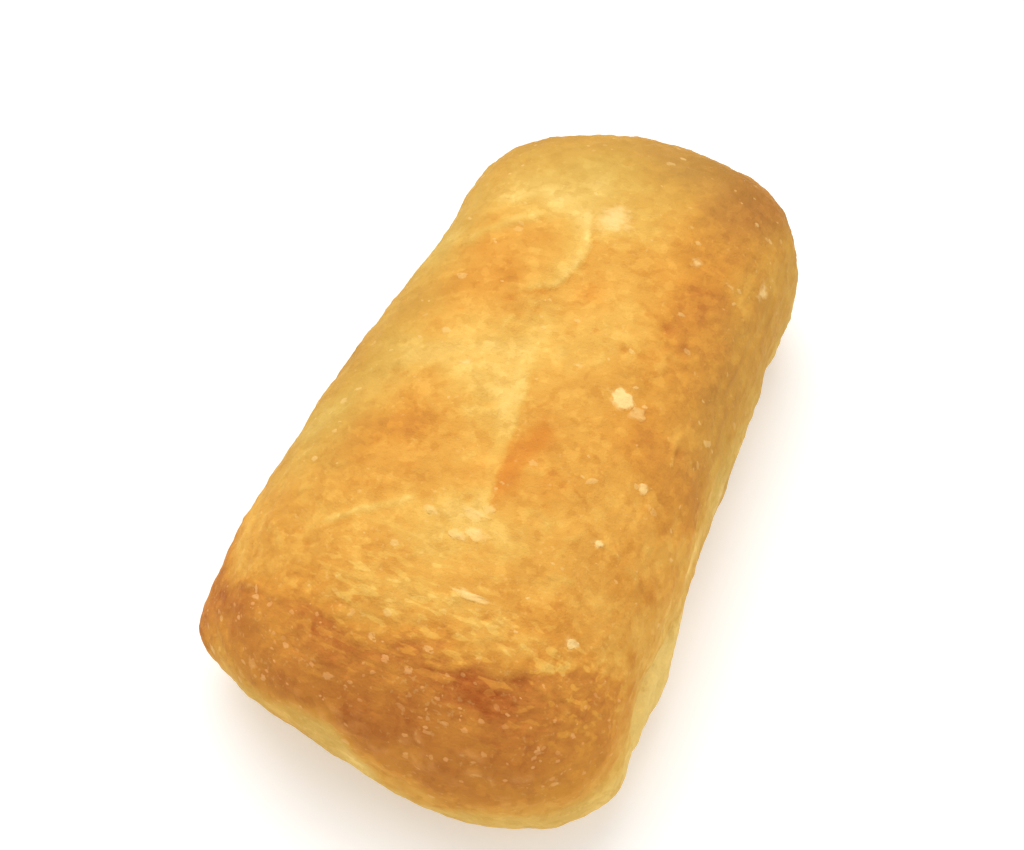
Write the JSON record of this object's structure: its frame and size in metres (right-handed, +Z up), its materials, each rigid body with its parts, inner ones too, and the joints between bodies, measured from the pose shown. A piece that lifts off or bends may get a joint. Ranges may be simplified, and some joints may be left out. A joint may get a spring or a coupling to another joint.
{
  "type": "ciabatta roll",
  "caption": "Small uncut ciabatta: a long flat pillow of baked dough with a domed, creased top, bulging flanks, blunt ends and a flat base to rest on.",
  "frame": {"origin": "on the resting surface, under the middle of the loaf's bounding box", "axes": "+Z up, +Y along the loaf from its broad near end to its narrower far end, +X to its right flank"},
  "size_m": [0.088, 0.1532, 0.0479],
  "materials": {
    "crust": "satin golden brown baked crust, paler in the creases and along the foot, with flour specks"
  },
  "bodies": {
    "root": {"loaf": "crust"}
  },
  "joints": []
}
